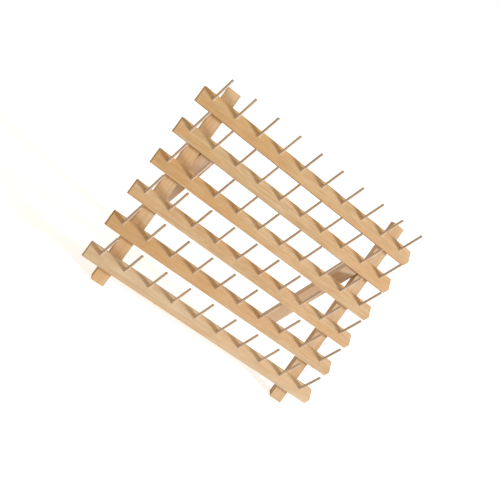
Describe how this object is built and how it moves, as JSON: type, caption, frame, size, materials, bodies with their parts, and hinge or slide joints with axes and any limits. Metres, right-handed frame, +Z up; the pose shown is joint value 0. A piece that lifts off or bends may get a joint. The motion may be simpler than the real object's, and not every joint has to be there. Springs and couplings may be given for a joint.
{
  "type": "folding thread rack",
  "caption": "Wooden rack of slanted pegs on level rails for spools of thread, with two legs that fold flat against its back.",
  "frame": {"origin": "on the table, under the middle of the whole rack's box, with the legs open", "axes": "+X along the rails, to the right as seen from the pegs' side; -Y towards the user; +Z up"},
  "size_m": [0.4024, 0.1808, 0.3057],
  "materials": {
    "rail_wood": "smooth bare wood",
    "upright_wood": "smooth bare wood",
    "leg_wood": "smooth bare wood",
    "peg_wood": "smooth bare dowel",
    "screw_steel": "zinc plated",
    "spacer_fibre": "matt fibre"
  },
  "bodies": {
    "frame": {"rail_1": "rail_wood", "rail_2": "rail_wood", "rail_3": "rail_wood", "rail_4": "rail_wood", "rail_5": "rail_wood", "rail_6": "rail_wood", "pegs_1": "peg_wood", "pegs_2": "peg_wood", "pegs_3": "peg_wood", "pegs_4": "peg_wood", "pegs_5": "peg_wood", "pegs_6": "peg_wood", "upright_left": "upright_wood", "upright_right": "upright_wood", "rail_screws_left": "screw_steel", "rail_screws_right": "screw_steel", "spacer_left": "spacer_fibre", "spacer_right": "spacer_fibre"},
    "leg_left": {"leg_left": "leg_wood", "pivot_screw_left": "screw_steel"},
    "leg_right": {"leg_right": "leg_wood", "pivot_screw_right": "screw_steel"}
  },
  "joints": [
    {"name": "leg_left_fold", "type": "hinge", "parent": "frame", "child": "leg_left", "pos_m": [-0.13905, 0.02041, 0.19744], "axis": [-1, 0, 0], "range_deg": [0, 44]},
    {"name": "leg_right_fold", "type": "hinge", "parent": "frame", "child": "leg_right", "pos_m": [0.13615, 0.02041, 0.19744], "axis": [-1, 0, 0], "range_deg": [0, 44]}
  ]
}
